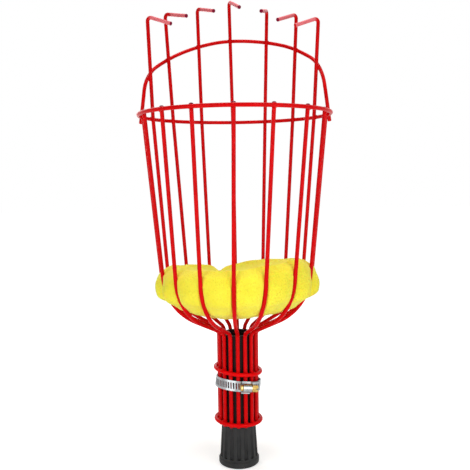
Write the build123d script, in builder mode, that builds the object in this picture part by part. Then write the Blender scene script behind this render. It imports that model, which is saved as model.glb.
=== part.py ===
from build123d import *
import math
import os

os.makedirs("parts", exist_ok=True)

# Fruit picker head: a welded wire basket on a moulded pole sleeve, with a soft pad in its bowl
# and a worm-drive clamp round its neck. Millimetres, +Z up, origin at the middle of the mouth of
# the pole bore. Angles run round the axis from the front (-Y) towards the right (+X).

# Wire stock and layout
wire_dia = 3.0
short_count = 9
weld_gap = 0.06

# Pole sleeve
pole_bore_dia = 22.0
sleeve_wall = 2.0
sleeve_gap = 0.3
foot_height = 33.1
foot_swell = 0.55
foot_flare = 2.15
collar_height = 5.2
collar_flare = 3.1
collar_round = 1.6
collar_chamfer = 0.7
flute_clear = 0.1
flute_lift = 1.4
sleeve_top_inset = 1.9

# Neck of the basket
foot_clear = 0.4
neck_length = 74.0
neck_bend_radius = 6.0
lower_ring_lift = 2.7
lower_ring_tilt = 2.0
neck_ring_spacing = 40.4
upper_ring_tilt = 6.4

# Bowl, rim and tines
bowl_rise = 19.95
bowl_bend_radius = 44.6
basket_depth = 148.55
rim_outer_dia = 150.0
basket_taper = 13.6
short_overrun = 0.5

# Tines from right to left: rise above the rim, outward spread at the hook, then the hook's own
# sideways twist and drop
tine_rises = (78.6, 87.4, 94.2, 104.0, 97.6, 89.6, 81.2)
tine_spreads = (-3.6, -3.4, -4.3, -4.65, -0.45, 1.2, -3.95)
hook_twists = (0.0, -4.0, 8.0, 19.0, 11.0, 0.0, 0.0)
hook_drops = (7.5, 7.5, 5.0, 10.0, 7.0, 6.0, 7.5)
tine_bend_radius = 150.0
hook_circle_r = 53.0
hook_bend_radius = 2.6

# Turns of the wires from their even places, as welded, in degrees. The first two run from the left
# wire round the front to the right, then on round the back; the hooks' run over the tines only.
bowl_turns = (0.0, -3.6, -4.6, -3.8, -2.6, -2.6, 0.2, 3.7, 0.0, -0.5, 0.2, -0.6, 0.8, 0.8, 0.4, 4.5)
rim_turns = (0.0, -3.1, -1.1, -2.0, -0.5, -0.3, 1.5, 2.5, 0.0, 1.0, 0.7, 0.4, 1.2, 1.15, 2.0, 1.6)
hook_turns = (0.0, 0.0, -0.4, 2.6, 0.6, 0.8, 0.8)

# Rear arch: heights above the rim at the tines from right to left, then its feet
arch_rises = (39.4, 57.8, 67.6, 70.5, 65.0, 50.9, 32.3)
arch_right_angle = 102.0
arch_left_angle = -104.0
arch_foot_drop = 4.0
arch_foot_straight = 9.0
arch_foot_lean = 8.0

# Soft pad. The bulges are shares of half the gap between two wires. Each level: share of the
# pad's height, outward step there as a share of that height, share of the bulge
foam_lift = 16.0
foam_height = 36.5
foam_side_bulge = 0.75
foam_front_bulge = 0.42
foam_front_rise = 0.067
foam_right_rise = 0.044
foam_clear = 0.35
foam_valley = 0.5
foam_valley_least = 1.2
foam_dish_depth = 8.0
foam_dish_margin = 9.0
foam_levels = (
    (0.0, -0.33, 0.0),
    (0.063, -0.164, 0.1),
    (0.14, -0.041, 0.4),
    (0.23, -0.014, 0.7),
    (0.34, 0.0, 0.96),
    (0.44, 0.0, 1.0),
    (0.59, 0.0, 0.72),
    (0.75, -0.027, 0.34),
    (0.9, -0.11, 0.05),
    (1.0, -0.26, 0.0),
)

# Worm-drive clamp
clamp_drop = 11.1
clamp_tilt = 6.5
clamp_front_lift = 6.0
band_clear = 0.2
band_width = 8.0
band_thickness = 0.7
slot_pitch = 2.1
slot_width = 1.0
slot_length = 5.0
slot_slant = 8.0
band_slot_count = 14
tail_clear = 0.3
tail_side_clear = 0.3
tail_length = 20.0
tail_inset = 0.35
tail_slot_count = 8
housing_angle = 17.0
housing_length = 6.8
housing_wall = 0.7
skirt_clear = 0.3
band_part_gap = 1.5
worm_dia = 4.8
worm_clear = 0.25
screw_dome_clear = 0.3
screw_tip = 1.6
screw_chamfer = 0.6
collar_dia = 4.6
head_standoff = 1.0
head_flats = 5.0
head_length = 4.2
head_slot_width = 1.0
head_slot_depth = 1.6

# Radii and heights that follow from the sizes above
wire_r = wire_dia / 2
tine_count = len(tine_rises)
wire_count = short_count + tine_count
wire_pitch = 360 / wire_count
bore_r = pole_bore_dia / 2
sleeve_r = bore_r + sleeve_wall
neck_r = sleeve_r + sleeve_gap + wire_r
neck_foot_z = foot_height + foot_clear
neck_bend_z = neck_foot_z + neck_length
sleeve_top_z = neck_bend_z - sleeve_top_inset
bowl_z = neck_bend_z + bowl_rise
rim_z = bowl_z + basket_depth
rim_r = rim_outer_dia / 2 - wire_r
rim_wire_r = rim_r - wire_dia - weld_gap
bowl_r = rim_wire_r - basket_taper
lower_ring_z = neck_foot_z + lower_ring_lift
upper_ring_z = lower_ring_z + neck_ring_spacing
clamp_z = upper_ring_z - clamp_drop

# Side profile of every wire: neck, sloping floor of the bowl, bend, leaning side
floor_angle = math.atan2(bowl_z - neck_bend_z, bowl_r - neck_r)
side_angle = math.atan2(rim_z - bowl_z, rim_wire_r - bowl_r)
bend_run = bowl_bend_radius * math.tan((side_angle - floor_angle) / 2)
bend_low_r = bowl_r - bend_run * math.cos(floor_angle)
bend_low_z = bowl_z - bend_run * math.sin(floor_angle)
bend_high_z = bowl_z + bend_run * math.sin(side_angle)
bend_mid_r = bend_low_r - bowl_bend_radius * math.sin(floor_angle)
bend_mid_z = bend_low_z + bowl_bend_radius * math.cos(floor_angle)


def wire_slope(z):
    """Angle of a wire's run to the horizontal at height z, above the neck bend."""
    if z <= bend_low_z:
        return floor_angle
    if z >= bend_high_z:
        return side_angle
    return math.acos((bend_mid_z - z) / bowl_bend_radius)


def wire_radius(z):
    """Distance of a wire's centre line from the axis at height z, above the neck bend."""
    if z <= bend_low_z:
        return neck_r + (z - neck_bend_z) / math.tan(floor_angle)
    if z >= bend_high_z:
        return bowl_r + (z - bowl_z) / math.tan(side_angle)
    return bend_mid_r + bowl_bend_radius * math.sin(wire_slope(z))


def polar_point(angle, radius, z):
    """Point at an angle from the front."""
    turn = math.radians(angle)
    return Vector(radius * math.sin(turn), -radius * math.cos(turn), z)


def radial_plane(angle):
    """Upright plane through the axis: local x runs outward, local y runs up."""
    turn = math.radians(angle)
    outward = (math.sin(turn), -math.cos(turn), 0)
    across = (-math.cos(turn), -math.sin(turn), 0)
    return Plane(origin=(0, 0, 0), x_dir=outward, z_dir=across)


def tilted_plane(z, tilt, front_lift=0):
    """Level plane round the axis at height z, lowered on the right and raised at the front by angles."""
    right_fall = math.tan(math.radians(tilt))
    front_climb = math.tan(math.radians(front_lift))
    return Plane(origin=(0, 0, z), x_dir=(1, 0, -right_fall), z_dir=(right_fall, front_climb, 1))


# Even places of the wires, from the left round the front and on round the back
wire_angles = [(index - (short_count - 1) / 2) * wire_pitch for index in range(wire_count)]


def wire_angle(index, z):
    """Angle of a wire at height z, between the neck bend and the rim."""
    share = min(max((z - bowl_z) / basket_depth, 0), 1)
    return wire_angles[index] + bowl_turns[index] * (1 - share) + rim_turns[index] * share


def wire_start(index):
    """Foot, neck bend and bowl points that every wire shares."""
    return [
        polar_point(wire_angles[index], neck_r, neck_foot_z),
        polar_point(wire_angles[index], neck_r, neck_bend_z),
        polar_point(wire_angle(index, bowl_z), bowl_r, bowl_z),
    ]


# Short wires of the front half, from left to right
short_top_z = rim_z + wire_r + short_overrun
for index in range(short_count):
    with BuildPart() as basket_wire:
        with BuildLine() as wire_path:
            FilletPolyline(
                *wire_start(index),
                polar_point(wire_angle(index, rim_z), wire_radius(short_top_z), short_top_z),
                radius=(neck_bend_radius, bowl_bend_radius),
            )
        with BuildSketch(Plane(origin=wire_path.line @ 0, z_dir=wire_path.line % 0)):
            Circle(wire_r)
        sweep()
    wire_name = f"basket_wire_{index + 1}"
    basket_wire.part.label = wire_name
    export_step(basket_wire.part, f"parts/{wire_name}.step")

# Tall tines of the rear half, from right to left, each with an inward hook
tine_rims = []
tine_hooks = []
for index in range(tine_count):
    rim_angle = wire_angle(short_count + index, rim_z)
    hook_angle = wire_angles[short_count + index] + hook_turns[index]
    hook_z = rim_z + tine_rises[index]
    hook_r = wire_radius(hook_z) + tine_spreads[index]
    sideways = (hook_r - hook_circle_r) * math.tan(math.radians(hook_twists[index]))
    across = radial_plane(hook_angle).z_dir
    tine_rims.append(polar_point(rim_angle, rim_wire_r, rim_z))
    tine_hooks.append(polar_point(hook_angle, hook_r, hook_z))
    hook_end = polar_point(hook_angle, hook_circle_r, hook_z - hook_drops[index]) + across * sideways
    with BuildPart() as tine:
        with BuildLine() as tine_path:
            FilletPolyline(
                *wire_start(short_count + index),
                tine_rims[index],
                tine_hooks[index],
                hook_end,
                radius=(neck_bend_radius, bowl_bend_radius, tine_bend_radius, hook_bend_radius),
            )
        with BuildSketch(Plane(origin=tine_path.line @ 0, z_dir=tine_path.line % 0)):
            Circle(wire_r)
        sweep()
    tine_name = f"tine_{index + 1}"
    tine.part.label = tine_name
    export_step(tine.part, f"parts/{tine_name}.step")

# Rim ring, outside the wires
with BuildPart(Plane.XY.offset(rim_z)) as rim_ring:
    Torus(rim_r, wire_r)
rim_ring.part.label = "rim_ring"
export_step(rim_ring.part, "parts/rim_ring.step")

# Neck rings, outside the wires and a little out of level, as welded
upper_lean = math.radians(upper_ring_tilt)
with BuildPart(tilted_plane(upper_ring_z, upper_ring_tilt)) as neck_ring_upper:
    Torus((neck_r + wire_dia + weld_gap) / math.cos(upper_lean), wire_r)
neck_ring_upper.part.label = "neck_ring_upper"
export_step(neck_ring_upper.part, "parts/neck_ring_upper.step")

lower_lean = math.radians(lower_ring_tilt)
with BuildPart(tilted_plane(lower_ring_z, lower_ring_tilt)) as neck_ring_lower:
    Torus((neck_r + wire_dia + weld_gap) / math.cos(lower_lean), wire_r)
neck_ring_lower.part.label = "neck_ring_lower"
export_step(neck_ring_lower.part, "parts/neck_ring_lower.step")

# Rear arch: feet outside the rim just behind the side wires, then behind every tine
behind = (wire_dia + weld_gap) / math.sin(side_angle)
foot_z = rim_z - arch_foot_drop
knee_z = rim_z + arch_foot_straight
foot_fall = math.tan(math.radians(arch_foot_lean))
foot_ring_r = rim_r + (wire_dia + weld_gap) / math.cos(math.radians(arch_foot_lean))


def arch_crossing(index):
    """Centre of the arch where it passes behind a tine."""
    share = arch_rises[index] / tine_rises[index]
    centre = tine_rims[index] * (1 - share) + tine_hooks[index] * share
    return centre + Vector(centre.X, centre.Y, 0).normalized() * behind


def arch_side(foot_angle):
    """Foot and knee points of the arch on one side, foot first."""
    return [
        polar_point(foot_angle, foot_ring_r + arch_foot_drop * foot_fall, foot_z),
        polar_point(foot_angle, foot_ring_r - arch_foot_straight * foot_fall, knee_z),
    ]


arch_points = arch_side(arch_right_angle)
arch_points.extend(arch_crossing(index) for index in range(tine_count))
arch_points.extend(reversed(arch_side(arch_left_angle)))

arch_tangents = []
arch_last = len(arch_points) - 1
for index in range(arch_last + 1):
    before = arch_points[max(index - 1, 0)]
    after = arch_points[min(index + 1, arch_last)]
    run = (after - before).normalized()
    if index == 1:
        run = (arch_points[1] - arch_points[0]).normalized()
    if index == arch_last - 1:
        run = (arch_points[arch_last] - arch_points[arch_last - 1]).normalized()
    if 2 <= index <= arch_last - 2:
        out = Vector(arch_points[index].X, arch_points[index].Y, 0).normalized()
        run = (run - out * run.dot(out)).normalized()
    arch_tangents.append(run)

with BuildPart() as rear_arch:
    with BuildLine() as arch_path:
        Line(arch_points[0], arch_points[1])
        for index in range(1, arch_last - 1):
            start = arch_points[index]
            end = arch_points[index + 1]
            start_run = arch_tangents[index]
            end_run = arch_tangents[index + 1]
            chord = end - start
            both = chord.dot(start_run + end_run)
            spread = 2 * (1 - start_run.dot(end_run))
            reach = (math.sqrt(both**2 + spread * chord.dot(chord)) - both) / spread
            near = start + start_run * reach
            far = end - end_run * reach
            middle = (near + far) * 0.5
            TangentArc(start, middle, tangent=start_run)
            TangentArc(middle, end, tangent=(far - near).normalized())
        Line(arch_points[arch_last - 1], arch_points[arch_last])
    with BuildSketch(Plane(origin=arch_path.line @ 0, z_dir=arch_path.line % 0)):
        Circle(wire_r)
    sweep()
rear_arch.part.label = "rear_arch"
export_step(rear_arch.part, "parts/rear_arch.step")

# Soft pad: lobes that swell between the wires, drawn in at every wire, dished on a leaning top
foam_base_z = neck_bend_z + foam_lift
channel_r = wire_r + foam_clear


def foam_plane(share):
    """Level of the pad at a share of its height; higher levels lean up to the front and right."""
    lean = Vector(-foam_right_rise * share, foam_front_rise * share, 1)
    return Plane(origin=(0, 0, foam_base_z + foam_height * share), z_dir=lean)


def foam_point(level, angle, in_valley):
    """Outline point of the pad on one of its levels, at a wire or between two wires."""
    share, step_share, bulge_share = level
    turn = math.radians(angle)
    lean = share * (foam_right_rise * math.sin(turn) + foam_front_rise * math.cos(turn))
    level_z = foam_base_z + foam_height * share
    near_z = level_z + lean * wire_radius(level_z)
    half_gap = wire_radius(near_z) * math.sin(math.radians(wire_pitch / 2))
    bulge = foam_front_bulge + (foam_side_bulge - foam_front_bulge) * math.sin(turn) ** 2
    radius = wire_radius(near_z) + step_share * foam_height + bulge * bulge_share * half_gap
    if in_valley:
        pressed = wire_radius(near_z) - foam_valley / math.sin(wire_slope(near_z))
        radius = min(pressed, radius - foam_valley_least)
    local = foam_plane(share).to_local_coords(polar_point(angle, radius, level_z + lean * radius))
    return (local.X, local.Y)


with BuildPart() as foam_pad:
    for level in foam_levels:
        level_z = foam_base_z + foam_height * level[0]
        level_angles = [wire_angle(index, level_z) for index in range(wire_count)]
        level_angles.append(level_angles[0] + 360)
        with BuildSketch(foam_plane(level[0])):
            with BuildLine():
                for start_angle, end_angle in zip(level_angles, level_angles[1:]):
                    ThreePointArc(
                        foam_point(level, start_angle, True),
                        foam_point(level, (start_angle + end_angle) / 2, False),
                        foam_point(level, end_angle, True),
                    )
            make_face()
    loft()
    foam_top_z = foam_base_z + foam_height
    foam_top_r = wire_radius(foam_top_z) + foam_levels[-1][1] * foam_height
    dish_r = foam_top_r - foam_valley_least - foam_dish_margin
    dish_ball_r = (dish_r**2 + foam_dish_depth**2) / (2 * foam_dish_depth)
    with Locations(foam_plane(1).offset(dish_ball_r - foam_dish_depth)):
        Sphere(dish_ball_r, mode=Mode.SUBTRACT)
    for index in range(wire_count):
        with BuildLine() as channel_path:
            FilletPolyline(
                *wire_start(index)[1:],
                polar_point(wire_angle(index, rim_z), rim_wire_r, rim_z),
                radius=bowl_bend_radius,
            )
        with BuildSketch(Plane(origin=channel_path.line @ 0, z_dir=channel_path.line % 0)):
            Circle(channel_r)
        sweep(mode=Mode.SUBTRACT)
foam_pad.part.label = "foam_pad"
export_step(foam_pad.part, "parts/foam_pad.step")

# Pole sleeve: plain tube inside the neck, flared fluted foot, rounded collar, through bore
collar_r = sleeve_r + collar_flare
with BuildPart() as pole_sleeve:
    with BuildSketch(Plane.XZ):
        with BuildLine():
            Polyline(
                (bore_r, 0),
                (collar_r - collar_round, 0),
            )
            RadiusArc((collar_r - collar_round, 0), (collar_r, collar_round), -collar_round)
            Polyline(
                (collar_r, collar_round),
                (collar_r, collar_height - collar_chamfer),
                (sleeve_r + foot_flare, collar_height),
                (sleeve_r + foot_swell, foot_height),
                (sleeve_r, foot_height),
                (sleeve_r, sleeve_top_z),
                (bore_r, sleeve_top_z),
                (bore_r, 0),
            )
        make_face()
    revolve(axis=Axis.Z)
    flute_z = collar_height + flute_lift
    with BuildSketch(Plane.XY.offset(flute_z)):
        with PolarLocations(neck_r, wire_count):
            Circle(wire_r + flute_clear)
    extrude(amount=foot_height - flute_z + foot_clear, mode=Mode.SUBTRACT)
pole_sleeve.part.label = "pole_sleeve"
export_step(pole_sleeve.part, "parts/pole_sleeve.step")

# Worm-drive clamp, built on its own tilted level
clamp_plane = tilted_plane(clamp_z, clamp_tilt, clamp_front_lift)
clamp_lean = math.acos(clamp_plane.z_dir.Z)
band_edge_shift = band_width / 2 * math.sin(clamp_lean)
band_in_r = (neck_r + wire_r + band_clear + band_edge_shift) / math.cos(clamp_lean)
band_out_r = band_in_r + band_thickness
tail_in_r = band_out_r + tail_clear
tail_out_r = tail_in_r + band_thickness
worm_r = worm_dia / 2
screw_r = tail_out_r + worm_clear + worm_r
band_slot_turn = math.degrees(slot_pitch / band_out_r)
tail_slot_turn = math.degrees(slot_pitch / tail_out_r)
housing_half = housing_length / 2
housing_half_turn = math.degrees(math.asin(housing_half / band_out_r))


def clamp_radial(angle, radius):
    """Plane square to the clamp's radius: local x runs round the neck, local y along its axis."""
    turn = math.radians(angle)
    outward = clamp_plane.x_dir * math.sin(turn) - clamp_plane.y_dir * math.cos(turn)
    along = clamp_plane.x_dir * math.cos(turn) + clamp_plane.y_dir * math.sin(turn)
    return Plane(origin=clamp_plane.origin + outward * radius, x_dir=along, z_dir=outward)


# Slotted strip round the neck, parted inside the housing
with BuildPart() as clamp_band:
    with BuildSketch(clamp_plane.offset(-band_width / 2)):
        Circle(band_out_r)
        Circle(band_in_r, mode=Mode.SUBTRACT)
    extrude(amount=band_width)
    for index in range(band_slot_count):
        slot_angle = housing_angle - housing_half_turn - (index + 0.75) * band_slot_turn
        with BuildSketch(clamp_radial(slot_angle, band_in_r - band_clear)):
            SlotOverall(slot_length, slot_width, rotation=90 + slot_slant)
        extrude(amount=band_clear * 2 + band_thickness, mode=Mode.SUBTRACT)
    with BuildSketch(clamp_radial(housing_angle, band_in_r - band_clear)):
        Rectangle(band_part_gap, band_width + 2 * band_thickness)
    extrude(amount=band_clear * 2 + band_thickness, mode=Mode.SUBTRACT)
clamp_band.part.label = "clamp_band"
export_step(clamp_band.part, "parts/clamp_band.step")

# Free end of the strip: starts inside the housing, leaves it under the screw head
tail_width = band_width - 2 * tail_side_clear
tail_start = housing_angle - math.degrees(math.asin((housing_half - tail_inset) / band_out_r))
tail_end = tail_start + math.degrees(tail_length / tail_out_r)
tail_middle = (tail_start + tail_end) / 2
with BuildPart() as clamp_band_tail:
    with BuildSketch(clamp_plane.offset(-tail_width / 2)):
        with BuildLine():
            arcs = []
            for radius in (tail_in_r, tail_out_r):
                arc_points = []
                for angle in (tail_start, tail_middle, tail_end):
                    turn = math.radians(angle)
                    arc_points.append((radius * math.sin(turn), -radius * math.cos(turn)))
                arcs.append(ThreePointArc(*arc_points))
            Line(arcs[0] @ 0, arcs[1] @ 0)
            Line(arcs[0] @ 1, arcs[1] @ 1)
        make_face()
    extrude(amount=tail_width)
    tip_plane = clamp_radial(tail_end, tail_in_r)
    tip_edges = clamp_band_tail.edges().sort_by(lambda edge: (edge.center() - tip_plane.origin).length)
    tip_edges = tip_edges.filter_by(GeomType.LINE).filter_by(
        lambda edge: abs((edge % 0.5).dot(tip_plane.z_dir)) > 0.9
    )
    fillet(tip_edges[:2], radius=tail_width / 4)
    for index in range(tail_slot_count):
        slot_angle = tail_start + (index + 0.6) * tail_slot_turn
        with BuildSketch(clamp_radial(slot_angle, tail_in_r - tail_clear / 2)):
            SlotOverall(slot_length, slot_width, rotation=90 + slot_slant)
        extrude(amount=tail_clear + band_thickness, mode=Mode.SUBTRACT)
clamp_band_tail.part.label = "clamp_band_tail"
export_step(clamp_band_tail.part, "parts/clamp_band_tail.step")

# Housing: folded sheet that grips the strip's edges and domes over the worm
dome_in_r = worm_r + screw_dome_clear
dome_out_r = dome_in_r + housing_wall
grip_half = band_width / 2
roof_in = tail_out_r + tail_clear
roof_out = roof_in + housing_wall
skirt_low = band_in_r + skirt_clear
housing_turn = math.radians(housing_angle)
housing_along = clamp_plane.x_dir * math.cos(housing_turn) + clamp_plane.y_dir * math.sin(housing_turn)
housing_outward = clamp_plane.x_dir * math.sin(housing_turn) - clamp_plane.y_dir * math.cos(housing_turn)
housing_plane = Plane(origin=clamp_plane.origin, x_dir=housing_outward, z_dir=housing_along)
with BuildPart() as clamp_housing:
    with BuildSketch(housing_plane.offset(-housing_half)):
        with Locations((screw_r, 0)):
            Circle(dome_out_r)
        with Locations(((skirt_low + roof_out) / 2, 0)):
            Rectangle(roof_out - skirt_low, 2 * (grip_half + housing_wall))
        with Locations(((roof_out + screw_r) / 2, 0)):
            Rectangle(screw_r - roof_out, 2 * dome_out_r)
        with Locations((screw_r, 0)):
            Circle(dome_in_r, mode=Mode.SUBTRACT)
        with Locations(((skirt_low + roof_in) / 2, 0)):
            Rectangle(roof_in - skirt_low, 2 * grip_half, mode=Mode.SUBTRACT)
        with Locations(((roof_in + screw_r) / 2, 0)):
            Rectangle(screw_r - roof_in, 2 * dome_in_r, mode=Mode.SUBTRACT)
    extrude(amount=housing_length)
clamp_housing.part.label = "clamp_housing"
export_step(clamp_housing.part, "parts/clamp_housing.step")

# Worm screw: worm inside the dome, short collar, slotted hexagon head on the right
screw_plane = Plane(
    origin=clamp_plane.origin + housing_outward * screw_r,
    x_dir=housing_outward,
    z_dir=housing_along,
)
with BuildPart() as clamp_screw:
    with BuildSketch(screw_plane.offset(-housing_half - screw_tip)):
        Circle(worm_r)
    extrude(amount=housing_length + screw_tip)
    tip_face = clamp_screw.faces().sort_by(Axis(screw_plane.origin, screw_plane.z_dir))[0]
    chamfer(tip_face.edges(), screw_chamfer)
    with BuildSketch(screw_plane.offset(housing_half)):
        Circle(collar_dia / 2)
    extrude(amount=head_standoff)
    with BuildSketch(screw_plane.offset(housing_half + head_standoff)):
        RegularPolygon(head_flats / 2, 6, major_radius=False)
    extrude(amount=head_length)
    with BuildSketch(screw_plane.offset(housing_half + head_standoff + head_length)):
        Rectangle(head_flats * 2, head_slot_width)
    extrude(amount=-head_slot_depth, mode=Mode.SUBTRACT)
clamp_screw.part.label = "clamp_screw"
export_step(clamp_screw.part, "parts/clamp_screw.step")
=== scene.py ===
"""Looks of a fruit picker head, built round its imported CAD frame.

Lengths are in millimetres, except in the studio at the end, which is in metres.
"""
import math

import bmesh
import bpy
import numpy as np
from mathutils import Matrix, Vector, noise


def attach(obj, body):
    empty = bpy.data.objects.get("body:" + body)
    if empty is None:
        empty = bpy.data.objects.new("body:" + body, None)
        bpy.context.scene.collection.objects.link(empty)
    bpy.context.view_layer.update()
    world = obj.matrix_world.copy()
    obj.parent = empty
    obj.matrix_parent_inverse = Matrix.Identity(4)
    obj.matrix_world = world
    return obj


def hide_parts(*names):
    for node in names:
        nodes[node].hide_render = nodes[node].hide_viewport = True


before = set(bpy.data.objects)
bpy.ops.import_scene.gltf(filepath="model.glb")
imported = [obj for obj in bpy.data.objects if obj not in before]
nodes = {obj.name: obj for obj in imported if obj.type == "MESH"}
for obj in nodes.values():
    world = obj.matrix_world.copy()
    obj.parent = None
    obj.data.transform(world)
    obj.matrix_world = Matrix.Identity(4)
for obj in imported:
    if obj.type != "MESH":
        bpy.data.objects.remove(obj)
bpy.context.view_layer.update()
to_metres = 0.001
upright = Vector((0, 0, 1))

# Layout of the wires, as in the part's source
wire_r = 1.5
short_count = 9
wire_count = 16
wire_pitch = 360 / wire_count
neck_r = 14.8
neck_foot_z = 33.5
neck_bend_z = 107.5
bowl_r = 56.84
bowl_z = 127.45
bowl_bend_r = 44.6
rim_wire_r = 70.44
rim_z = 276.0
short_top_z = 278.0
bowl_turns = (0.0, -3.6, -4.6, -3.8, -2.6, -2.6, 0.2, 3.7, 0.0, -0.5, 0.2, -0.6, 0.8, 0.8, 0.4, 4.5)
rim_turns = (0.0, -3.1, -1.1, -2.0, -0.5, -0.3, 1.5, 2.5, 0.0, 1.0, 0.7, 0.4, 1.2, 1.15, 2.0, 1.6)
hook_turns = (0.0, 0.0, -0.4, 2.6, 0.6, 0.8, 0.8)
tine_rises = (78.6, 87.4, 94.2, 104.0, 97.6, 89.6, 81.2)
tine_spreads = (-3.6, -3.4, -4.3, -4.65, -0.45, 1.2, -3.95)
hook_twists = (0.0, -4.0, 8.0, 19.0, 11.0, 0.0, 0.0)
hook_drops = (7.5, 7.5, 5.0, 10.0, 7.0, 6.0, 7.5)
hook_circle_r = 53.0
arch_rises = (39.4, 57.8, 67.6, 70.5, 65.0, 50.9, 32.3)
arch_foot_angles = (102.0, -104.0)
arch_foot_drop = 4.0
arch_foot_fall = math.tan(math.radians(8.0))
arch_foot_r = 76.59
arch_behind = 3.073
neck_rings = ((36.2, 2.0), (76.6, 6.4))

# Side profile of a wire: sloping floor of the bowl, bend, leaning side
floor_angle = math.atan2(bowl_z - neck_bend_z, bowl_r - neck_r)
side_angle = math.atan2(rim_z - bowl_z, rim_wire_r - bowl_r)
bend_run = bowl_bend_r * math.tan((side_angle - floor_angle) / 2)
bend_low_r = bowl_r - bend_run * math.cos(floor_angle)
bend_low_z = bowl_z - bend_run * math.sin(floor_angle)
bend_high_z = bowl_z + bend_run * math.sin(side_angle)
bend_mid_r = bend_low_r - bowl_bend_r * math.sin(floor_angle)
bend_mid_z = bend_low_z + bowl_bend_r * math.cos(floor_angle)
wire_angles = [(index - (short_count - 1) / 2) * wire_pitch for index in range(wire_count)]


def wire_slope(z):
    """Angle of a wire's run to the horizontal at height z."""
    if z <= bend_low_z:
        return floor_angle
    if z >= bend_high_z:
        return side_angle
    return math.acos((bend_mid_z - z) / bowl_bend_r)


def wire_radius(z):
    """Distance of a wire's centre line from the axis at height z."""
    if z <= bend_low_z:
        return neck_r + (z - neck_bend_z) / math.tan(floor_angle)
    if z >= bend_high_z:
        return bowl_r + (z - bowl_z) / math.tan(side_angle)
    return bend_mid_r + bowl_bend_r * math.sin(wire_slope(z))


def wire_angle(index, z):
    """Angle of a wire from the front at height z, below the rim."""
    share = min(max((z - bowl_z) / (rim_z - bowl_z), 0), 1)
    return wire_angles[index] + bowl_turns[index] * (1 - share) + rim_turns[index] * share


def polar_point(angle, radius, z):
    """Point at an angle from the front, counted towards the right."""
    turn = math.radians(angle)
    return Vector((radius * math.sin(turn), -radius * math.cos(turn), z))


def outward_of(point):
    """Level direction away from the axis."""
    return Vector((point.x, point.y, 0)).normalized()


def around_of(point):
    """Level direction round the axis."""
    return outward_of(point).cross(upright)


# Places on the tines: at the rim, at the hook's bend and at the hook's end
tine_rims = []
tine_hooks = []
tine_ends = []
for index, rise in enumerate(tine_rises):
    hook_angle = wire_angles[short_count + index] + hook_turns[index]
    hook_z = rim_z + rise
    hook_r = wire_radius(hook_z) + tine_spreads[index]
    turn = math.radians(hook_angle)
    across = Vector((-math.cos(turn), -math.sin(turn), 0))
    sideways = (hook_r - hook_circle_r) * math.tan(math.radians(hook_twists[index]))
    end = polar_point(hook_angle, hook_circle_r, hook_z - hook_drops[index])
    tine_rims.append(polar_point(wire_angle(short_count + index, rim_z), rim_wire_r, rim_z))
    tine_hooks.append(polar_point(hook_angle, hook_r, hook_z))
    tine_ends.append(end + across * sideways)


# Finishes


def new_group(name, inputs, outputs):
    """Empty shader node group with named number inputs and outputs."""
    group = bpy.data.node_groups.new(name, "ShaderNodeTree")
    for socket, value in inputs:
        made = group.interface.new_socket(socket, in_out="INPUT", socket_type="NodeSocketFloat")
        made.default_value = value
    for socket in outputs:
        group.interface.new_socket(socket, in_out="OUTPUT", socket_type="NodeSocketFloat")
    return group, group.nodes.new("NodeGroupInput"), group.nodes.new("NodeGroupOutput")


def surface_grain_group():
    """Fine grain and broad patches on Object coordinates, both from 0 to 1."""
    group, given, made = new_group(
        "surface_grain",
        (("Grain per metre", 900.0), ("Patches per metre", 60.0), ("Grain detail", 2.0)),
        ("Grain", "Patch"),
    )
    place = group.nodes.new("ShaderNodeTexCoord")
    for socket, scale in (("Grain", "Grain per metre"), ("Patch", "Patches per metre")):
        cloud = group.nodes.new("ShaderNodeTexNoise")
        cloud.inputs["Roughness"].default_value = 0.55
        group.links.new(place.outputs["Object"], cloud.inputs["Vector"])
        group.links.new(given.outputs[scale], cloud.inputs["Scale"])
        if socket == "Grain":
            group.links.new(given.outputs["Grain detail"], cloud.inputs["Detail"])
        group.links.new(cloud.outputs["Fac"], made.inputs[socket])
    return group


surface_grain = surface_grain_group()

# Sockets of a colour Mix node, which have the same names for every kind of value
mix_share = 0
mix_first = 6
mix_second = 7
mix_result = 2


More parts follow.
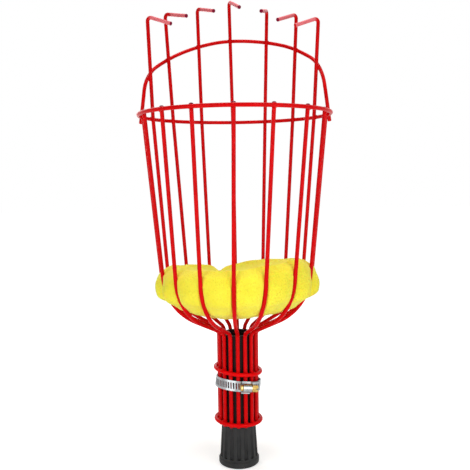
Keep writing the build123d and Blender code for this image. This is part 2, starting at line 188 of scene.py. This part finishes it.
class Finish:
    """A material under construction: its tree, its Principled shader and a grain group."""

    def __init__(self, name, grain, patches, detail=2.0):
        self.material = bpy.data.materials.new(name)
        self.material.use_nodes = True
        self.tree = self.material.node_tree
        self.shader = self.tree.nodes["Principled BSDF"]
        group = self.add("ShaderNodeGroup")
        group.node_tree = surface_grain
        group.inputs["Grain per metre"].default_value = grain
        group.inputs["Patches per metre"].default_value = patches
        group.inputs["Grain detail"].default_value = detail
        self.grain = group.outputs["Grain"]
        self.patch = group.outputs["Patch"]

    def add(self, kind, **settings):
        """New node of a kind, with its plain settings."""
        node = self.tree.nodes.new(kind)
        for name, value in settings.items():
            setattr(node, name, value)
        return node

    def put(self, value, target):
        """Link a socket to a target socket, or set the target to a fixed value."""
        if isinstance(value, bpy.types.NodeSocket):
            self.tree.links.new(value, target)
        else:
            target.default_value = value

    def set(self, **values):
        """Feed or set the shader's own sockets, named with _ for each space."""
        for name, value in values.items():
            self.put(value, self.shader.inputs[name.replace("_", " ")])

    def place(self):
        """Place on the surface in the part's own frame, in metres."""
        return self.add("ShaderNodeTexCoord").outputs["Object"]

    def place_parts(self):
        """The X, Y and Z of that place, each as a socket."""
        split = self.add("ShaderNodeSeparateXYZ")
        self.put(self.place(), split.inputs["Vector"])
        return split.outputs

    def math(self, operation, *values):
        """Number worked out from others."""
        node = self.add("ShaderNodeMath", operation=operation)
        for value, target in zip(values, node.inputs):
            self.put(value, target)
        return node.outputs["Value"]

    def mix(self, share, first, second, blend="MIX"):
        """Colour that goes from first to second by a share."""
        node = self.add("ShaderNodeMix", data_type="RGBA", blend_type=blend)
        self.put(share, node.inputs[mix_share])
        self.put(first, node.inputs[mix_first])
        self.put(second, node.inputs[mix_second])
        return node.outputs[mix_result]

    def colours(self, fac, low, high, start=0.3, end=0.7):
        """Colour that runs from low to high as fac goes from start to end."""
        ramp = self.add("ShaderNodeValToRGB")
        for stop, position, colour in zip(ramp.color_ramp.elements, (start, end), (low, high)):
            stop.position = position
            stop.color = (*colour, 1)
        self.put(fac, ramp.inputs["Fac"])
        return ramp.outputs["Color"]

    def range(self, fac, low, high, start=0.3, end=0.7):
        """Number that runs from low to high as fac goes from start to end."""
        span = self.add("ShaderNodeMapRange")
        for name, value in (("From Min", start), ("From Max", end), ("To Min", low), ("To Max", high)):
            span.inputs[name].default_value = value
        self.put(fac, span.inputs["Value"])
        return span.outputs["Result"]

    def bump(self, height, depth, strength):
        """Bump of a depth in millimetres on the shader's normal."""
        node = self.add("ShaderNodeBump")
        node.inputs["Strength"].default_value = strength
        node.inputs["Distance"].default_value = depth * to_metres
        self.put(height, node.inputs["Height"])
        self.set(Normal=node.outputs["Normal"])


# Where a hook's painted pale pink highlight fades in: lean of the upright, distances inside its line,
# heights
upright_lean = 0.045
hook_fade_inside = (4.2, 1.6)
hook_fade_z = (325.0, 335.0)
# Heights between which the sleeve's grey foot gives way to its darker upper part, painted shade between
# the neck wires
sleeve_change_z = (31.0, 37.0)


def hook_highlight_mask(finish):
    """1 on the level run of a picking hook, where the painted highlight goes, 0 on the upright below it,
    by place in the part.
    """
    parts = finish.place_parts()
    level = finish.add("ShaderNodeCombineXYZ")
    reach = finish.add("ShaderNodeVectorMath", operation="LENGTH")
    finish.put(parts["X"], level.inputs["X"])
    finish.put(parts["Y"], level.inputs["Y"])
    finish.put(level.outputs["Vector"], reach.inputs[0])
    straightened = finish.math("MULTIPLY_ADD", parts["Z"], -upright_lean, reach.outputs["Value"])
    upright_r = rim_wire_r - upright_lean * rim_z
    pale_r, red_r = [(upright_r - inside) * to_metres for inside in hook_fade_inside]
    red_z, pale_z = [z * to_metres for z in hook_fade_z]
    inward = finish.range(straightened, 1.0, 0.0, start=pale_r, end=red_r)
    high = finish.range(parts["Z"], 0.0, 1.0, start=red_z, end=pale_z)
    return finish.math("MULTIPLY", inward, high)


def red_coating(name, low, high, painted_highlight=None):
    """Thick dip coating, a little uneven as it ran and set, with a painted pale pink highlight on the
    hooks if asked.
    """
    finish = Finish(name, grain=420.0, patches=90.0)
    tone = finish.colours(finish.patch, low, high)
    if painted_highlight:
        # Pale pink painted highlight on the hooks' level runs, mixed into the base colour
        tone = finish.mix(hook_highlight_mask(finish), tone, (*painted_highlight, 1))
    finish.set(Base_Color=tone, Roughness=finish.range(finish.grain, 0.24, 0.36))
    finish.set(Specular_IOR_Level=0.05)
    finish.bump(finish.grain, depth=0.08, strength=0.15)
    return finish.material


def yellow_foam():
    """Open-cell foam: small pores, soft blotches, no gloss."""
    finish = Finish("yellow_foam", grain=420.0, patches=45.0, detail=4.0)
    cells = finish.add("ShaderNodeTexVoronoi")
    cells.inputs["Scale"].default_value = 620.0
    finish.put(finish.place(), cells.inputs["Vector"])
    pores = finish.range(cells.outputs["Distance"], 0.0, 1.0, start=0.15, end=0.6)
    blotches = finish.colours(finish.patch, (0.86, 0.75, 0.031), (0.93, 0.84, 0.052))
    pore_shade = finish.colours(pores, (0.93, 0.91, 0.80), (1.0, 1.0, 1.0), start=0.0, end=0.5)
    finish.set(Base_Color=finish.mix(1.0, blotches, pore_shade, blend="MULTIPLY"))
    finish.set(Roughness=finish.range(finish.grain, 0.86, 0.98))
    finish.set(Specular_IOR_Level=0.12, Sheen_Weight=0.15, Sheen_Roughness=0.6)
    finish.set(Subsurface_Weight=0.2, Subsurface_Scale=0.004)
    finish.bump(finish.math("ADD", pores, finish.grain), depth=0.35, strength=0.7)
    return finish.material


def grey_moulding():
    """Dark moulded sleeve with a fine matte grain, greyer on its foot, and darker above it with painted
    shade between the neck wires.
    """
    finish = Finish("dark_grey_moulding", grain=2600.0, patches=120.0, detail=3.0)
    foot_grey = finish.colours(finish.patch, (0.027, 0.0275, 0.028), (0.038, 0.0385, 0.039))
    low_z, high_z = [z * to_metres for z in sleeve_change_z]
    above = finish.range(finish.place_parts()["Z"], 0.0, 1.0, start=low_z, end=high_z)
    # Above the foot the colour is near black with a red tint: painted shade in the gaps between the neck
    # wires
    finish.set(Base_Color=finish.mix(above, foot_grey, (0.011, 0.0036, 0.0034, 1)))
    finish.set(Roughness=finish.range(finish.grain, 0.46, 0.62), Specular_IOR_Level=0.12)
    finish.bump(finish.grain, depth=0.05, strength=0.5)
    return finish.material


def plated_steel(name, low, high, smoothest, roughest):
    """Plated steel with fine lines from rolling and a cloudy plating."""
    finish = Finish(name, grain=1500.0, patches=220.0)
    stretch = finish.add("ShaderNodeMapping")
    stretch.inputs["Scale"].default_value = (90.0, 90.0, 3200.0)
    lines = finish.add("ShaderNodeTexNoise")
    lines.inputs["Scale"].default_value = 1.0
    lines.inputs["Detail"].default_value = 3.0
    finish.put(finish.place(), stretch.inputs["Vector"])
    finish.put(stretch.outputs["Vector"], lines.inputs["Vector"])
    finish.set(Base_Color=finish.colours(finish.patch, low, high), Metallic=1.0)
    finish.set(Roughness=finish.range(lines.outputs["Fac"], smoothest, roughest))
    finish.bump(lines.outputs["Fac"], depth=0.03, strength=0.4)
    return finish.material


red_tones = ((0.575, 0.0015, 0.0025), (0.675, 0.0025, 0.004))
red = red_coating("red_dip_coating", *red_tones)
# The tines' hooks get a pale pink painted highlight on their level runs
hook_red = red_coating("red_coating_hooks", *red_tones, painted_highlight=(0.78, 0.18, 0.2))
# Neck rings: a lighter red than the wires, painted light where the rings catch more light
ring_painted_light_red = red_coating("red_coating_rings_painted_light", (0.7, 0.0015, 0.0025), (0.8, 0.0025, 0.004))
# Dark red for the drip beads on the short tops and hook tips: painted shade
painted_shade_red = red_coating("red_coating_painted_shade", (0.18, 0.004, 0.026), (0.26, 0.006, 0.036))
foam_yellow = yellow_foam()
sleeve_grey = grey_moulding()
zinc = plated_steel("bright_zinc", (0.25, 0.27, 0.28), (0.42, 0.44, 0.45), 0.2, 0.36)
yellow_zinc = plated_steel("yellow_zinc", (0.50, 0.33, 0.08), (0.66, 0.47, 0.16), 0.22, 0.36)

finish_of = {
    "pole_sleeve": sleeve_grey,
    "clamp_band": zinc,
    "clamp_band_tail": zinc,
    "clamp_housing": zinc,
    "clamp_screw": yellow_zinc,
    "neck_ring_upper": ring_painted_light_red,
    "neck_ring_lower": ring_painted_light_red,
}
for index in range(len(tine_rises)):
    finish_of[f"tine_{index + 1}"] = hook_red
for name, node in nodes.items():
    for place in node.material_slots:
        place.material = finish_of.get(name, red)


# Welds and dipped ends, placed by a node tree


def placed_bead_tree(name):
    """Node tree: a rounded bead on every point, turned by the point's value and sized by the inputs."""
    tree = bpy.data.node_groups.new(name, "GeometryNodeTree")
    tree.interface.new_socket("Places", in_out="INPUT", socket_type="NodeSocketGeometry")
    for socket in ("Length", "Width", "Height"):
        made = tree.interface.new_socket(socket, in_out="INPUT", socket_type="NodeSocketFloat")
        made.default_value = 1.0
    tree.interface.new_socket("Coating", in_out="INPUT", socket_type="NodeSocketMaterial")
    tree.interface.new_socket("Beads", in_out="OUTPUT", socket_type="NodeSocketGeometry")
    add = tree.nodes.new
    given = add("NodeGroupInput")
    made = add("NodeGroupOutput")
    ball = add("GeometryNodeMeshUVSphere")
    ball.inputs["Segments"].default_value = 16
    ball.inputs["Rings"].default_value = 10
    ball.inputs["Radius"].default_value = to_metres
    size = add("ShaderNodeCombineXYZ")
    turn = add("GeometryNodeInputNamedAttribute")
    turn.data_type = "FLOAT_VECTOR"
    turn.inputs["Name"].default_value = "bead_turn"
    swing = add("FunctionNodeEulerToRotation")
    spread = add("GeometryNodeInstanceOnPoints")
    real = add("GeometryNodeRealizeInstances")
    smooth = add("GeometryNodeSetShadeSmooth")
    coat = add("GeometryNodeSetMaterial")
    link = tree.links.new
    link(given.outputs["Length"], size.inputs["X"])
    link(given.outputs["Width"], size.inputs["Y"])
    link(given.outputs["Height"], size.inputs["Z"])
    link(given.outputs["Places"], spread.inputs["Points"])
    link(ball.outputs["Mesh"], spread.inputs["Instance"])
    link(turn.outputs["Attribute"], swing.inputs["Euler"])
    link(swing.outputs["Rotation"], spread.inputs["Rotation"])
    link(size.outputs["Vector"], spread.inputs["Scale"])
    link(spread.outputs["Instances"], real.inputs["Geometry"])
    link(real.outputs["Geometry"], smooth.inputs["Geometry"])
    link(smooth.outputs["Geometry"], coat.inputs["Geometry"])
    link(given.outputs["Coating"], coat.inputs["Material"])
    link(coat.outputs["Geometry"], made.inputs["Beads"])
    return tree


def linked(name, data):
    """Object for a mesh, lamp or lens, in the scene."""
    piece = bpy.data.objects.new(name, data)
    bpy.context.scene.collection.objects.link(piece)
    return piece


def placed_beads(name, tree, places, sizes, coating):
    """Plain mesh of the tree's beads at places, each a point with its length and height ways."""
    points = bpy.data.meshes.new(name)
    points.from_pydata([point * to_metres for point, _, _ in places], [], [])
    turns = points.attributes.new("bead_turn", "FLOAT_VECTOR", "POINT")
    for item, (_, along, across) in zip(turns.data, places):
        first = along.normalized()
        third = (across - first * across.dot(first)).normalized()
        second = third.cross(first)
        item.vector = Matrix((first, second, third)).transposed().to_euler()
    piece = linked(name, points)
    step = piece.modifiers.new("beads", "NODES")
    step.node_group = tree
    inputs = [item for item in tree.interface.items_tree if item.in_out == "INPUT"]
    sockets = {item.name: item.identifier for item in inputs}
    for label, value in zip(("Length", "Width", "Height"), sizes):
        step[sockets[label]] = value
    step[sockets["Coating"]] = coating
    depsgraph = bpy.context.evaluated_depsgraph_get()
    mesh = bpy.data.meshes.new_from_object(piece.evaluated_get(depsgraph))
    piece.modifiers.remove(step)
    piece.data = mesh
    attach(piece, "basket")


# Each weld: contact point, way along the crossing ring or arch, way across both wires
rim_welds = []
neck_welds = []
arch_welds = []
for index in range(wire_count):
    contact = polar_point(wire_angle(index, rim_z), rim_wire_r + wire_r, rim_z)
    rim_welds.append((contact, around_of(contact), outward_of(contact)))
    for ring_z, tilt in neck_rings:
        contact = polar_point(wire_angles[index], neck_r + wire_r, ring_z)
        contact.z -= contact.x * math.tan(math.radians(tilt))
        neck_welds.append((contact, around_of(contact), outward_of(contact)))
for angle in arch_foot_angles:
    contact = polar_point(angle, arch_foot_r - wire_r, rim_z)
    rim_welds.append((contact, around_of(contact), outward_of(contact)))
for index, rise in enumerate(arch_rises):
    share = rise / tine_rises[index]
    centre = tine_rims[index] * (1 - share) + tine_hooks[index] * share
    out = outward_of(centre)
    arch_welds.append((centre + out * arch_behind / 2, around_of(centre), out))

# Ends where the coating drew up as it set: red, or a drip bead in a dark red that is painted shade, on
# the short tops and hook tips. The first tine's end stays red, with no painted shade.
red_ends = []
painted_shade_ends = []
for index in range(wire_count):
    foot = polar_point(wire_angles[index], neck_r, neck_foot_z)
    red_ends.append((foot, outward_of(foot), upright))
for index in range(short_count):
    top = polar_point(wire_angle(index, rim_z), wire_radius(short_top_z), short_top_z)
    low = polar_point(wire_angle(index, bowl_z), bowl_r, bowl_z)
    painted_shade_ends.append((top, around_of(top), top - low))
for index, (hook, end) in enumerate(zip(tine_hooks, tine_ends)):
    ends = red_ends if index == 0 else painted_shade_ends
    ends.append((end, upright.cross(end - hook), end - hook))
for angle in arch_foot_angles:
    foot = polar_point(angle, arch_foot_r + arch_foot_drop * arch_foot_fall, rim_z - arch_foot_drop)
    red_ends.append((foot, around_of(foot), upright - outward_of(foot) * arch_foot_fall))

# Each kind of bead: name, places, half its length, width and height, coating
bead_tree = placed_bead_tree("weld_beads")
bead_kinds = (
    ("rim_welds", rim_welds, (2.1, 1.9, 1.25), red),
    ("neck_ring_welds", neck_welds, (2.0, 1.9, 1.2), ring_painted_light_red),
    ("arch_welds", arch_welds, (2.2, 2.1, 1.25), red),
    ("dipped_ends", red_ends, (1.53, 1.53, 0.68), red),
    ("painted_shade_drips", painted_shade_ends, (1.6, 1.6, 0.85), painted_shade_red),
)
for name, places, half_sizes, coating in bead_kinds:
    placed_beads(name, bead_tree, places, half_sizes, coating)


# Soft pad, pressed into the bowl and swelling between the wires

foam_base_z = 123.5
foam_height = 36.5
foam_front_rise = 0.067
foam_right_rise = 0.044
foam_front_bulge = 0.22
foam_side_bulge = 0.75
foam_bulge_power = 4
foam_valley = 0.3
foam_valley_least = 1.2
foam_wire_gap = 0.06
# Going up the side: share of the height, step in or out as such a share, share of the full bulge
foam_levels = (
    (0.0, -0.33, 0.0),
    (0.063, -0.164, 0.0),
    (0.14, -0.041, 0.03),
    (0.2, -0.02, 0.08),
    (0.27, -0.008, 0.34),
    (0.33, 0.0, 0.82),
    (0.39, 0.0, 1.0),
    (0.47, 0.0, 0.96),
    (0.6, 0.0, 0.74),
    (0.75, -0.02, 0.44),
    (0.9, -0.07, 0.17),
    (1.0, -0.2, 0.0),
)
# Lobes from the left wire round by the front: fullness, and how soon the swelling fades going up
lobe_fullness = (
    0.95, 0.95, 1.02, 0.92, 1.05, 0.94, 0.97, 1.02,
    1.0, 0.9, 1.05, 0.95, 1.0, 0.92, 1.0, 0.93,
)
lobe_falloff = (0.6, 0.7, 0.9, 1.0, 1.1, 1.0, 1.0, 1.1, 1.1, 1.0, 0.9, 1.0, 1.1, 1.0, 0.8, 0.6)
lobe_falloff_from = 0.42
lobe_roundness = 0.95
# Dips and rises of the rim: angle from the front, half-width in degrees, height
rim_waves = (
    (197.7, 5.5, -4.2),
    (190.0, 20.0, -4.2),
    (222.0, 18.0, -1.2),
    (268.0, 20.0, 1.4),
    (56.0, 24.0, 2.6),
    (0.0, 20.0, -1.2),
    (108.0, 16.0, 0.8),
)
rim_wave_from = 0.35
rim_wave_over = 0.55
rim_wave_power = 1.5
# Under side, and dished top with a rolled edge
under_sag = 1.6
dish_depth = 8.0
dish_power = 1.15
edge_hold_power = 1.6
edge_roll = 1.2
edge_rolls_per_radius = 6
# Rows and rings of the skin: runs of rows up the side, then shares of the radius under and on top
side_runs = ((0.0, 0.16, 12), (0.16, 0.8, 36), (0.8, 1.0, 14))
under_rings = (0.0, 0.28, 0.52, 0.72, 0.86, 0.95)
top_rings = (
    0.985, 0.965, 0.94, 0.91, 0.875, 0.835, 0.79, 0.74,
    0.68, 0.61, 0.53, 0.44, 0.34, 0.23, 0.12, 0.0,
)
columns_per_lobe = 36
merge_distance = 0.02
# Unevenness of hand-cut foam: lumps per millimetre, height, shift of the pattern
foam_lumps = ((0.045, 1.1, (0, 0, 0)), (0.16, 0.35, (7, 3, 5)))
# Unevenness held back near the wires: depth behind them, gap to a wire without any, fade after it
held_depth = 8
held_gap = 1.6
held_fade = 4


def smooth_levels(column):
    """Smooth curve through one column of the levels, over the share of the height."""
    shares = np.array([level[0] for level in foam_levels])
    values = np.array([level[column] for level in foam_levels])
    slopes = np.gradient(values, shares)

    def value(share):
        share = np.clip(share, 0, 1)
        at = np.clip(np.searchsorted(shares, share) - 1, 0, len(shares) - 2)
        span = shares[at + 1] - shares[at]
        t = (share - shares[at]) / span
        return (
            values[at] * (1 + 2 * t) * (1 - t) ** 2
            + values[at + 1] * t * t * (3 - 2 * t)
            + span * (slopes[at] * t * (1 - t) ** 2 + slopes[at + 1] * t * t * (t - 1))
        )

    return value


step_at = smooth_levels(1)
bulge_at = smooth_levels(2)


def around_zero(angle):
    """The same angle from -180 to 180 degrees."""
    return (angle + 180) % 360 - 180


def rim_wave(angle):
    """Height of the rim's dips and rises at an angle from the front."""
    total = 0.0
    for centre, half_width, height in rim_waves:
        total += height * math.exp(-((around_zero(angle - centre) / half_width) ** 2))
    return total


def foam_side(share, lobe, across, angle):
    """Radius and height of the side at a share of its height, place across a lobe (-1 to 1) and angle."""
    turn = math.radians(angle)
    lean = share * (foam_right_rise * math.sin(turn) + foam_front_rise * math.cos(turn))
    level_z = foam_base_z + foam_height * share
    near_z = level_z + lean * wire_radius(level_z)
    at_wire = wire_radius(near_z)
    half_gap = at_wire * math.sin(math.radians(wire_pitch / 2))
    bulge = foam_front_bulge + (foam_side_bulge - foam_front_bulge) * math.sin(turn) ** foam_bulge_power
    full = max(float(bulge_at(share)), 0.0)
    if share > lobe_falloff_from:
        full = full ** lobe_falloff[lobe]
    swell = bulge * half_gap * lobe_fullness[lobe] * full
    lobe_r = at_wire + float(step_at(share)) * foam_height + swell
    slope = math.sin(wire_slope(near_z))
    valley_r = min(at_wire - foam_valley / slope, lobe_r - foam_valley_least)
    arch = (1 - across * across) ** lobe_roundness
    radius = valley_r + (lobe_r - valley_r) * arch
    edge = (1 - abs(across)) * half_gap
    groove = wire_r + foam_wire_gap
    if edge < groove:
        pressed = at_wire - math.sqrt(groove**2 - edge**2) / slope
        radius = min(radius, pressed)
    risen = float(np.clip((share - rim_wave_from) / rim_wave_over, 0, 1))
    return radius, level_z + lean * radius + rim_wave(angle) * risen**rim_wave_power


def foam_columns():
    """Lobe of every column of the skin and its place across that lobe, closer together at the wires."""
    columns = []
    for lobe in range(wire_count):
        for step in range(columns_per_lobe):
            columns.append((lobe, math.sin(math.pi / 2 * (2 * step / columns_per_lobe - 1))))
    return columns


def foam_side_row(share, columns):
    """One row of points round the pad's side at a share of its height."""
    level_z = foam_base_z + foam_height * share
    row = []
    for lobe, across in columns:
        start = wire_angle(lobe, level_z)
        end = wire_angle((lobe + 1) % wire_count, level_z)
        if lobe + 1 == wire_count:
            end += 360
        angle = start + (end - start) * (across + 1) / 2
        row.append(polar_point(angle, *foam_side(share, lobe, across, angle)))
    return row


def foam_plane(point, share):
    """Height of the pad's flat leaning top at a share of a rim point's distance from the axis."""
    level_z = foam_base_z + foam_height
    return level_z + foam_right_rise * point.x * share - foam_front_rise * point.y * share


def foam_top_row(share, rim):
    """One ring of the dished top, at a share of the rim's radius."""
    fall = dish_depth * (1 - share * share) ** dish_power
    hold = share**edge_hold_power
    roll = edge_roll * math.sin(math.pi * min(1, (1 - share) * edge_rolls_per_radius)) * hold
    row = []
    for point in rim:
        lift = (point.z - foam_plane(point, 1)) * hold
        z = foam_plane(point, share) + lift - fall + roll
        row.append(Vector((point.x * share, point.y * share, z)))
    return row


def foam_under_row(share, foot):
    """One ring of the under side, at a share of the foot's radius."""
    sag = under_sag * (1 - share * share)
    return [Vector((point.x * share, point.y * share, point.z - sag)) for point in foot]


def foam_mesh():
    """Closed skin of the pad: under side, lobed sides, rounded rim and dished top."""
    columns = foam_columns()
    runs = [np.linspace(start, end, count, endpoint=end == 1.0) for start, end, count in side_runs]
    sides = [foam_side_row(share, columns) for share in np.concatenate(runs)]
    under = [foam_under_row(share, sides[0]) for share in under_rings]
    top = [foam_top_row(share, sides[-1]) for share in top_rings]
    rows = under + sides + top
    count = len(columns)
    faces = []
    for level in range(len(rows) - 1):
        low = level * count
        high = low + count
        for column in range(count):
            beside = (column + 1) % count
            faces.append((low + column, low + beside, high + beside, high + column))
    mesh = bpy.data.meshes.new("foam_cushion")
    mesh.from_pydata([point * to_metres for row in rows for point in row], [], faces)
    return mesh


def lump(point):
    """Soft unevenness at a point, in millimetres."""
    total = 0.0
    for scale, height, shift in foam_lumps:
        total += noise.noise(point * scale + Vector(shift)) * height
    return total


def lump_share(point):
    """Share of the unevenness that a point takes: none at a wire, all of it well away from one."""
    radius = math.hypot(point.x, point.y)
    if radius <= wire_radius(max(point.z, neck_bend_z + 1)) - held_depth:
        return 1.0
    angle = math.degrees(math.atan2(point.x, -point.y))
    closest = min(abs(around_zero(angle - wire_angle(index, point.z))) for index in range(wire_count))
    return min(1.0, max(0.0, (math.radians(closest) * radius - held_gap) / held_fade))


def make_foam():
    """Foam pad as its own padded piece in place of the CAD solid."""
    piece = linked("foam_cushion", foam_mesh())
    mesh = piece.data
    work = bmesh.new()
    work.from_mesh(mesh)
    bmesh.ops.remove_doubles(work, verts=work.verts, dist=merge_distance * to_metres)
    bmesh.ops.recalc_face_normals(work, faces=work.faces)
    work.normal_update()
    moves = []
    for vertex in work.verts:
        point = vertex.co / to_metres
        moves.append(vertex.normal * lump(point) * lump_share(point) * to_metres)
    for vertex, move in zip(work.verts, moves):
        vertex.co += move
    for face in work.faces:
        face.smooth = True
    work.to_mesh(mesh)
    work.free()
    mesh.materials.append(foam_yellow)
    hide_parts("foam_pad")
    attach(piece, "basket")


make_foam()


# Studio, in metres

floor_half = 4.0
floor_z = -0.0004
floor_grey = (0.86, 0.86, 0.86, 1)
floor_glow_distances = (0.2, 1.1)
floor_glow = (0.58, 0.9)
white = (1, 1, 1, 1)
world_fill = 0.14
# Lamps: name, place, point that it faces, side, watts
lamps = (
    ("key_softbox", (-0.3, -0.4, 0.22), (0, 0, 0.15), 0.4, 1.33),
    ("fill_softbox", (0.33, -0.4, 0.22), (0, 0, 0.15), 0.4, 1.48),
    ("top_softbox", (0.03, 0.05, 0.9), (0, 0, 0.2), 0.26, 3.2),
    ("back_softbox", (-0.15, 0.6, 0.42), (0, 0, 0.2), 0.45, 1.3),
)
# Camera: angles in radians, sensor and lens in millimetres
camera_place = (-0.000889, -0.51771, 0.2289)
camera_pitch = 0.0882
camera_roll = -0.01383
camera_sensor = 36
camera_lens = 50.872
camera_near = 0.01


def seen_white(tree):
    """Mask of the rays that should meet a white surround: camera, glossy and transmission rays."""
    path = tree.nodes.new("ShaderNodeLightPath")
    first = tree.nodes.new("ShaderNodeMath")
    first.operation = "MAXIMUM"
    second = tree.nodes.new("ShaderNodeMath")
    second.operation = "MAXIMUM"
    tree.links.new(path.outputs["Is Camera Ray"], first.inputs[0])
    tree.links.new(path.outputs["Is Glossy Ray"], first.inputs[1])
    tree.links.new(first.outputs["Value"], second.inputs[0])
    tree.links.new(path.outputs["Is Transmission Ray"], second.inputs[1])
    return second.outputs["Value"]


def make_floor():
    """Wide pale floor that keeps the shadow and reads as white."""
    mesh = bpy.data.meshes.new("studio_floor")
    corners = [(-1, -1), (1, -1), (1, 1), (-1, 1)]
    mesh.from_pydata([(x * floor_half, y * floor_half, floor_z) for x, y in corners], [], [(0, 1, 2, 3)])
    floor = linked("studio_floor", mesh)
    material = bpy.data.materials.new("pale_floor")
    material.use_nodes = True
    tree = material.node_tree
    tree.nodes.clear()
    matte = tree.nodes.new("ShaderNodeBsdfDiffuse")
    matte.inputs["Color"].default_value = floor_grey
    glow = tree.nodes.new("ShaderNodeEmission")
    glow.inputs["Color"].default_value = white
    place = tree.nodes.new("ShaderNodeTexCoord")
    away = tree.nodes.new("ShaderNodeVectorMath")
    away.operation = "LENGTH"
    level = tree.nodes.new("ShaderNodeMapRange")
    span = floor_glow_distances + floor_glow
    for name, value in zip(("From Min", "From Max", "To Min", "To Max"), span):
        level.inputs[name].default_value = value
    scaled = tree.nodes.new("ShaderNodeMath")
    scaled.operation = "MULTIPLY"
    both = tree.nodes.new("ShaderNodeAddShader")
    out = tree.nodes.new("ShaderNodeOutputMaterial")
    tree.links.new(place.outputs["Object"], away.inputs[0])
    tree.links.new(away.outputs["Value"], level.inputs["Value"])
    tree.links.new(seen_white(tree), scaled.inputs[0])
    tree.links.new(level.outputs["Result"], scaled.inputs[1])
    tree.links.new(scaled.outputs["Value"], glow.inputs["Strength"])
    tree.links.new(matte.outputs["BSDF"], both.inputs[0])
    tree.links.new(glow.outputs["Emission"], both.inputs[1])
    tree.links.new(both.outputs["Shader"], out.inputs["Surface"])
    mesh.materials.append(material)


def make_world():
    """White surround for the camera and for gloss, dimmer even light for the object."""
    world = bpy.data.worlds.new("studio")
    bpy.context.scene.world = world
    world.use_nodes = True
    tree = world.node_tree
    back = tree.nodes["Background"]
    back.inputs["Color"].default_value = white
    level = tree.nodes.new("ShaderNodeMapRange")
    level.inputs["To Min"].default_value = world_fill
    level.inputs["To Max"].default_value = 1.0
    tree.links.new(seen_white(tree), level.inputs["Value"])
    tree.links.new(level.outputs["Result"], back.inputs["Strength"])


def softbox(name, place, aim, side, watts):
    """Square area lamp at a place, turned to a point."""
    lamp = bpy.data.lights.new(name, "AREA")
    lamp.shape = "SQUARE"
    lamp.size = side
    lamp.energy = watts
    way = Vector(aim) - Vector(place)
    turned = way.to_track_quat("-Z", "Y").to_matrix().to_4x4()
    linked(name, lamp).matrix_world = Matrix.Translation(place) @ turned


def make_camera():
    """Camera at the photograph's place, aim and lens."""
    ahead = Vector((0, math.cos(camera_pitch), -math.sin(camera_pitch)))
    above = Vector((0, math.sin(camera_pitch), math.cos(camera_pitch)))
    right = Vector((1, 0, 0))
    across = right * math.cos(camera_roll) + above * math.sin(camera_roll)
    up = above * math.cos(camera_roll) - right * math.sin(camera_roll)
    lens = bpy.data.cameras.new("photo_camera")
    lens.sensor_width = camera_sensor
    lens.lens = camera_lens
    lens.clip_start = camera_near
    holder = linked("photo_camera", lens)
    turned = Matrix((across, up, -ahead)).transposed().to_4x4()
    holder.matrix_world = Matrix.Translation(camera_place) @ turned
    bpy.context.scene.camera = holder


make_floor()
make_world()
for lamp in lamps:
    softbox(*lamp)
make_camera()
bpy.context.scene.view_settings.view_transform = "Standard"
